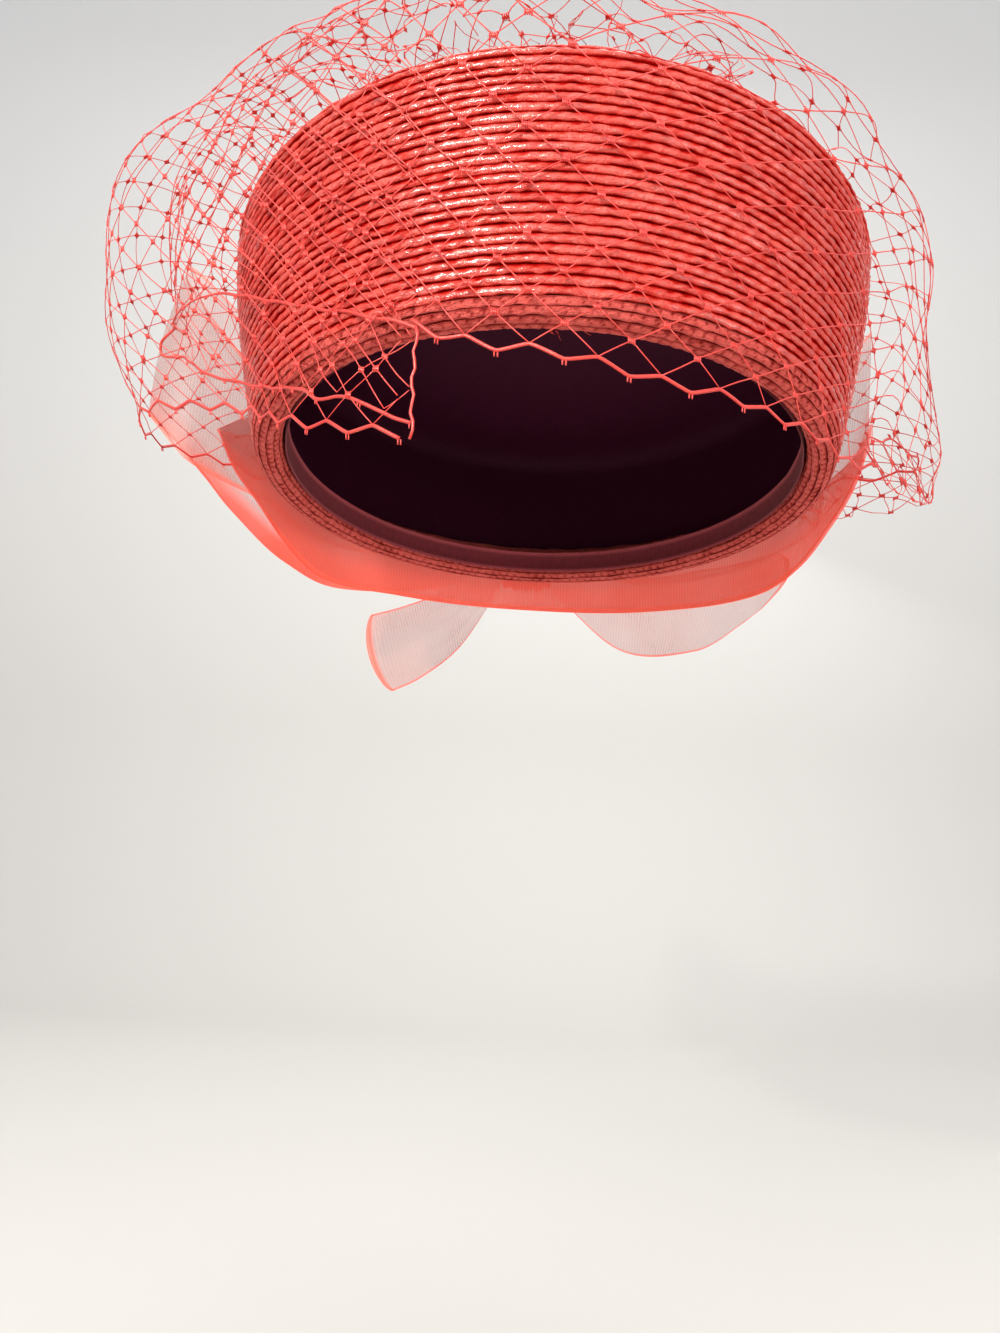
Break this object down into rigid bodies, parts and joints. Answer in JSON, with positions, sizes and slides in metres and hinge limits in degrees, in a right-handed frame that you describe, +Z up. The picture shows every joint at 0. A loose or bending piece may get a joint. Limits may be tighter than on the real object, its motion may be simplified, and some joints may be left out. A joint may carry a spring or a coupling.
{
  "type": "veiled straw hat",
  "caption": "Oval toque of sewn straw braid with a rolled edge, lining and ribbon head band, a puffed net veil gathered on its top and a sheer ribbon sash tied in a bow at the back.",
  "frame": {"origin": "middle of the oval head opening, level with the lowest point of the rolled edge", "axes": "+Z up through the crown, -Y towards the front of the hat, +X to the right of someone who faces its front"},
  "size_m": [0.2839, 0.2652, 0.1584],
  "materials": {
    "straw_braid": "glossy sewn straw braid",
    "lining_cloth": "smooth lining cloth",
    "band_ribbon": "ribbed ribbon",
    "net": "stiff open net",
    "sheer_ribbon": "sheer crisp ribbon"
  },
  "bodies": {
    "root": {"crown": "straw_braid", "lining": "lining_cloth", "head_band": "band_ribbon", "veil_front": "net", "veil_right": "net", "veil_back": "net", "veil_left": "net", "veil_end": "net", "sash": "sheer_ribbon", "bow_loop_left": "sheer_ribbon", "bow_loop_right": "sheer_ribbon", "tail_left": "sheer_ribbon", "tail_right": "sheer_ribbon", "bow_knot": "sheer_ribbon"}
  },
  "joints": []
}
